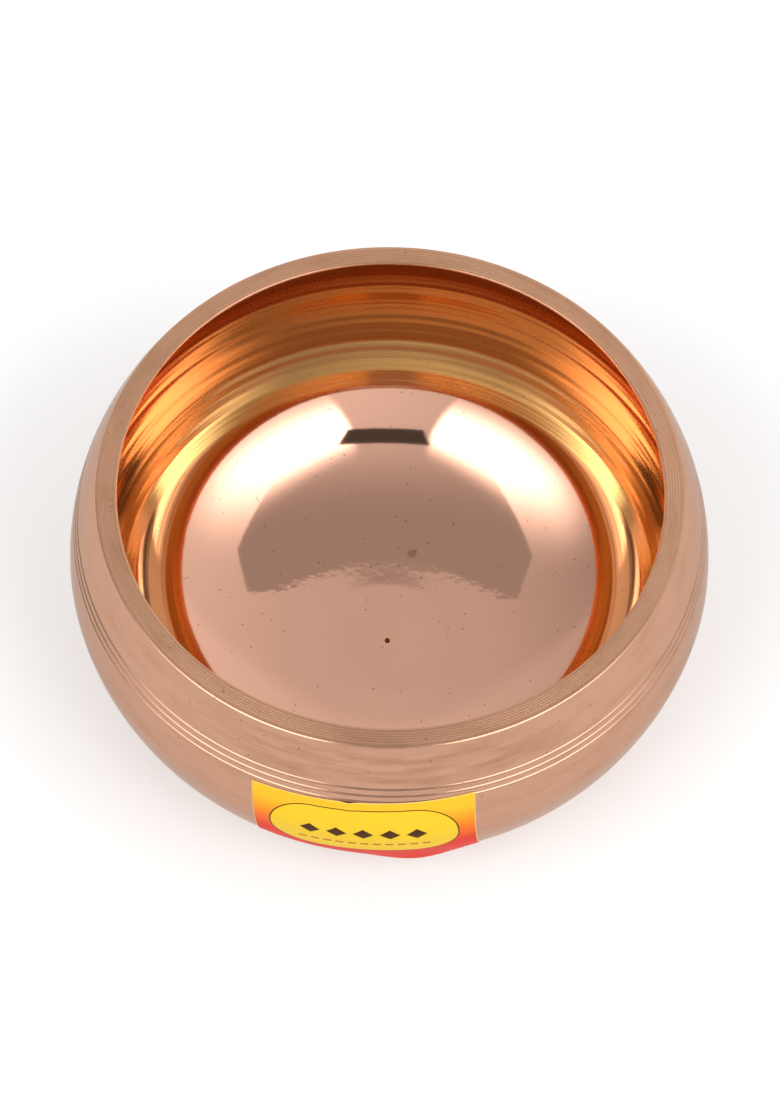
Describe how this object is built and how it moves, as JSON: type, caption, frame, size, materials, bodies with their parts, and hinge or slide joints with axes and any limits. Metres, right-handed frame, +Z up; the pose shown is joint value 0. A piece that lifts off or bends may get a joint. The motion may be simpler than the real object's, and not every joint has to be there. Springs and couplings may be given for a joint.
{
  "type": "bronze bowl",
  "caption": "Round turned metal bowl with a flat lip, drawn-in mouth, full belly, shoulder grooves and a low foot ring, with a plain printed label on its front.",
  "frame": {"origin": "on the bowl's axis, in the plane that its foot ring stands on", "axes": "+Z up along the bowl's axis towards its mouth; -Y towards the front, where the label is"},
  "size_m": [0.13, 0.1305, 0.063],
  "materials": {
    "bell_metal": "mirror polished floor, satin turned wall and lip",
    "label_print": "glossy printed paper"
  },
  "bodies": {
    "root": {"bowl": "bell_metal", "label": "label_print"}
  },
  "joints": []
}
